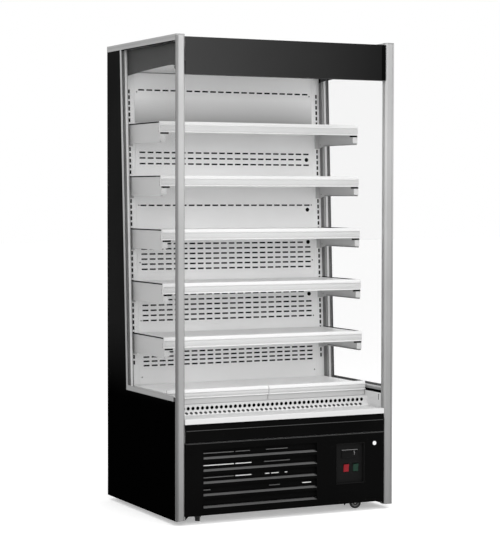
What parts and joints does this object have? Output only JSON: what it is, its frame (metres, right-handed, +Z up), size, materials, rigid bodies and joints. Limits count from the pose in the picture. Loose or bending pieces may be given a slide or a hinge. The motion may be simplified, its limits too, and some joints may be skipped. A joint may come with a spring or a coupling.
{
  "type": "open multideck display fridge",
  "caption": "Open multideck display fridge with glazed sides, lift-up shelves with ticket rails, louvred machine panel and braked casters.",
  "frame": {"origin": "on the floor under the middle of the case's footprint", "axes": "+Z up, -Y out of the open front, +X to the right for someone facing the front"},
  "size_m": [1.015, 0.758, 1.994],
  "materials": {
    "black_paint": "semi-gloss black powder coat",
    "dark_grey_paint": "satin dark grey",
    "white_paint": "satin white",
    "grey_paint": "satin light grey",
    "skin_paint": "satin grey outer skin",
    "silver_anodised": "satin anodised",
    "clear_glass": "clear toughened glass",
    "spacer_black": "matt black spacer",
    "black_plastic": "matt black",
    "lamp_diffuser": "milky diffuser",
    "zinc_steel": "zinc plated",
    "coil_metal": "bare fins",
    "pump_black": "gloss black enamel",
    "wheel_rubber": "dark grey tread",
    "red_rocker": "gloss red",
    "green_rocker": "gloss dark green"
  },
  "bodies": {
    "case": {"base_frame": "zinc_steel", "side_panel_left": "black_paint", "side_panel_right": "black_paint", "front_post_left": "silver_anodised", "front_post_right": "silver_anodised", "post_end_caps": "black_plastic", "top_rails": "silver_anodised", "glass_trims": "silver_anodised", "side_glasses": "clear_glass", "glass_spacers": "spacer_black", "canopy_ends": "dark_grey_paint", "roof_panel": "skin_paint", "rear_wall": "skin_paint", "header_fascia": "dark_grey_paint", "canopy_liner": "white_paint", "air_honeycomb": "black_plastic", "led_lamp": "lamp_diffuser", "back_panel": "grey_paint", "shelf_uprights": "grey_paint", "inner_tub": "white_paint", "evaporator": "coil_metal", "condenser": "coil_metal", "compressor": "pump_black", "drip_tray": "black_plastic", "return_air_grille": "white_paint", "front_lip": "white_paint", "front_apron": "black_paint", "lower_front_panel": "black_paint", "control_plate": "black_plastic", "rear_cover": "zinc_steel"},
    "power_rocker": {"power_switch": "red_rocker"},
    "light_rocker": {"light_switch": "green_rocker"},
    "evaporator_rotor_left": {"evaporator_fan_left": "black_plastic"},
    "evaporator_rotor_right": {"evaporator_fan_right": "black_plastic"},
    "condenser_rotor": {"condenser_fan": "black_plastic"},
    "deck_left": {"deck_pan_left": "white_paint"},
    "deck_right": {"deck_pan_right": "white_paint"},
    "fork_left": {"caster_fork_front_left": "zinc_steel"},
    "fork_right": {"caster_fork_front_right": "zinc_steel"},
    "wheel_front_left": {"caster_wheel_front_left": "wheel_rubber"},
    "wheel_front_right": {"caster_wheel_front_right": "wheel_rubber"},
    "wheel_rear_left": {"caster_wheel_rear_left": "wheel_rubber"},
    "wheel_rear_right": {"caster_wheel_rear_right": "wheel_rubber"},
    "pedal_left": {"brake_pedal_front_left": "black_plastic"},
    "pedal_right": {"brake_pedal_front_right": "black_plastic"},
    "shelf_1": {"shelf_1_tray": "white_paint", "shelf_1_brackets": "grey_paint", "shelf_1_price_rail": "white_paint"},
    "shelf_2": {"shelf_2_tray": "white_paint", "shelf_2_brackets": "grey_paint", "shelf_2_price_rail": "white_paint"},
    "shelf_3": {"shelf_3_tray": "white_paint", "shelf_3_brackets": "grey_paint", "shelf_3_price_rail": "white_paint"},
    "shelf_4": {"shelf_4_tray": "white_paint", "shelf_4_brackets": "grey_paint", "shelf_4_price_rail": "white_paint"},
    "shelf_5": {"shelf_5_tray": "white_paint", "shelf_5_brackets": "grey_paint", "shelf_5_price_rail": "white_paint"}
  },
  "joints": [
    {"name": "shelf_1_lift", "type": "hinge", "parent": "case", "child": "shelf_1", "pos_m": [0, 0.22718, 1.636], "axis": [-1, 0, 0], "range_deg": [0, 10]},
    {"name": "shelf_2_lift", "type": "hinge", "parent": "case", "child": "shelf_2", "pos_m": [0, 0.21618, 1.41127], "axis": [-1, 0, 0], "range_deg": [0, 10]},
    {"name": "shelf_3_lift", "type": "hinge", "parent": "case", "child": "shelf_3", "pos_m": [0, 0.20519, 1.18654], "axis": [-1, 0, 0], "range_deg": [0, 10]},
    {"name": "shelf_4_lift", "type": "hinge", "parent": "case", "child": "shelf_4", "pos_m": [0, 0.1942, 0.96181], "axis": [-1, 0, 0], "range_deg": [0, 10]},
    {"name": "shelf_5_lift", "type": "hinge", "parent": "case", "child": "shelf_5", "pos_m": [0, 0.18321, 0.73707], "axis": [-1, 0, 0], "range_deg": [0, 10]},
    {"name": "deck_left_lift", "type": "slide", "parent": "case", "child": "deck_left", "axis": [0, 0, 1], "range_m": [0, 0.1]},
    {"name": "deck_right_lift", "type": "slide", "parent": "case", "child": "deck_right", "axis": [0, 0, 1], "range_m": [0, 0.1]},
    {"name": "swivel_left", "type": "hinge", "parent": "case", "child": "fork_left", "pos_m": [-0.385, -0.316, 0.07], "axis": [0, 0, 1], "continuous": true},
    {"name": "wheel_front_left_spin", "type": "hinge", "parent": "fork_left", "child": "wheel_front_left", "pos_m": [-0.37536, -0.29623, 0.025], "axis": [-0.8988, 0.4384, 0], "continuous": true},
    {"name": "brake_left", "type": "hinge", "parent": "fork_left", "child": "pedal_left", "pos_m": [-0.3701, -0.28544, 0.0545], "axis": [-0.8988, 0.4384, 0], "range_deg": [0, 20]},
    {"name": "wheel_rear_left_spin", "type": "hinge", "parent": "case", "child": "wheel_rear_left", "pos_m": [-0.385, 0.322, 0.025], "axis": [-1, 0, 0], "continuous": true},
    {"name": "swivel_right", "type": "hinge", "parent": "case", "child": "fork_right", "pos_m": [0.385, -0.316, 0.07], "axis": [0, 0, 1], "continuous": true},
    {"name": "wheel_front_right_spin", "type": "hinge", "parent": "fork_right", "child": "wheel_front_right", "pos_m": [0.36523, -0.30636, 0.025], "axis": [-0.4384, -0.8988, 0], "continuous": true},
    {"name": "brake_right", "type": "hinge", "parent": "fork_right", "child": "pedal_right", "pos_m": [0.35444, -0.3011, 0.0545], "axis": [-0.4384, -0.8988, 0], "range_deg": [0, 20]},
    {"name": "wheel_rear_right_spin", "type": "hinge", "parent": "case", "child": "wheel_rear_right", "pos_m": [0.385, 0.322, 0.025], "axis": [-1, 0, 0], "continuous": true},
    {"name": "power_rocker_tilt", "type": "hinge", "parent": "case", "child": "power_rocker", "pos_m": [0.288, -0.36, 0.187], "axis": [-1, 0, 0], "range_deg": [0, 16]},
    {"name": "light_rocker_tilt", "type": "hinge", "parent": "case", "child": "light_rocker", "pos_m": [0.334, -0.36, 0.187], "axis": [-1, 0, 0], "range_deg": [0, 16]},
    {"name": "evaporator_fan_left_spin", "type": "hinge", "parent": "case", "child": "evaporator_rotor_left", "pos_m": [-0.2, -0.12, 0.402], "axis": [0, 1, 0], "continuous": true},
    {"name": "evaporator_fan_right_spin", "type": "hinge", "parent": "case", "child": "evaporator_rotor_right", "pos_m": [0.2, -0.12, 0.402], "axis": [0, 1, 0], "continuous": true},
    {"name": "condenser_fan_spin", "type": "hinge", "parent": "case", "child": "condenser_rotor", "pos_m": [-0.122, -0.231, 0.1785], "axis": [0, 1, 0], "continuous": true}
  ]
}
